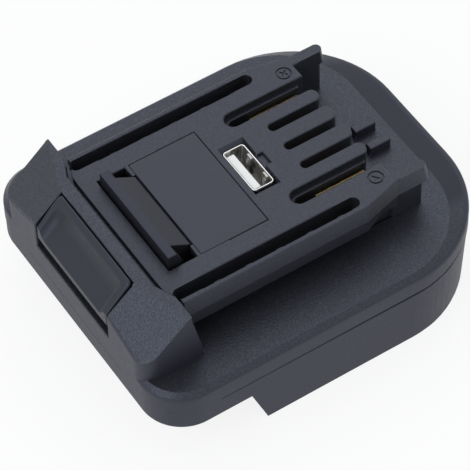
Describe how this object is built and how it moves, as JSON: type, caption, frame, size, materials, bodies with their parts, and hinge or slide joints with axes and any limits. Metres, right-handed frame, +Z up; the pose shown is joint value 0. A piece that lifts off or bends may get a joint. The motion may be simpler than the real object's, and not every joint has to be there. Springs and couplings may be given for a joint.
{
  "type": "tool battery adapter",
  "caption": "Flat adapter that lets a slide-on battery below power a tool of another fitting above, with rails, terminal fingers, a sprung release latch and a charging socket.",
  "frame": {"origin": "middle of the outline on the plane of the skirt's foot, straight below the charging socket", "axes": "+X across the plate, +Y from the release button towards the terminal fingers, +Z up"},
  "size_m": [0.077, 0.093, 0.0382],
  "materials": {
    "satin_casing": "smooth satin moulding",
    "grained_casing": "fine spark-eroded grain",
    "panel_plastic": "smooth, half gloss",
    "latch_plastic": "smooth satin moulding",
    "inner_plastic": "plain moulding",
    "white_plastic": "smooth",
    "brass": "rolled strip",
    "socket_metal": "bright tinned sheet",
    "screw_steel": "plated",
    "board_laminate": "green solder mask",
    "ferrite": "sintered",
    "capacitor_sleeve": "shrunk sleeve",
    "red_sleeve": "wire sleeve",
    "black_sleeve": "wire sleeve",
    "yellow_sleeve": "wire sleeve"
  },
  "bodies": {
    "housing": {"lower_shell": "satin_casing", "upper_cover": "grained_casing", "rail_platform": "grained_casing", "label_panel": "panel_plastic", "contact_carrier": "inner_plastic", "positive_clip": "brass", "negative_clip": "brass", "signal_clips": "brass", "usb_shell": "socket_metal", "usb_insulator": "white_plastic", "usb_contacts": "brass", "circuit_board": "board_laminate", "choke": "ferrite", "capacitors": "capacitor_sleeve", "converter_chip": "inner_plastic", "small_parts": "ferrite", "terminal_block": "inner_plastic", "positive_blade": "brass", "negative_blade": "brass", "signal_blades": "brass", "positive_lead": "red_sleeve", "negative_lead": "black_sleeve", "usb_positive_lead": "red_sleeve", "usb_negative_lead": "black_sleeve", "signal_leads": "yellow_sleeve", "shell_screws": "screw_steel", "board_screws": "screw_steel", "block_screws": "screw_steel", "latch_springs": "screw_steel"},
    "latch": {"release_button": "latch_plastic", "latch_hook": "latch_plastic"}
  },
  "joints": [
    {"name": "latch_slide", "type": "slide", "parent": "housing", "child": "latch", "axis": [0, 0, -1], "range_m": [0, 0.0032], "stiffness_N_per_m": 2500, "springref_m": -0.002, "deforming": ["latch_springs"]}
  ]
}
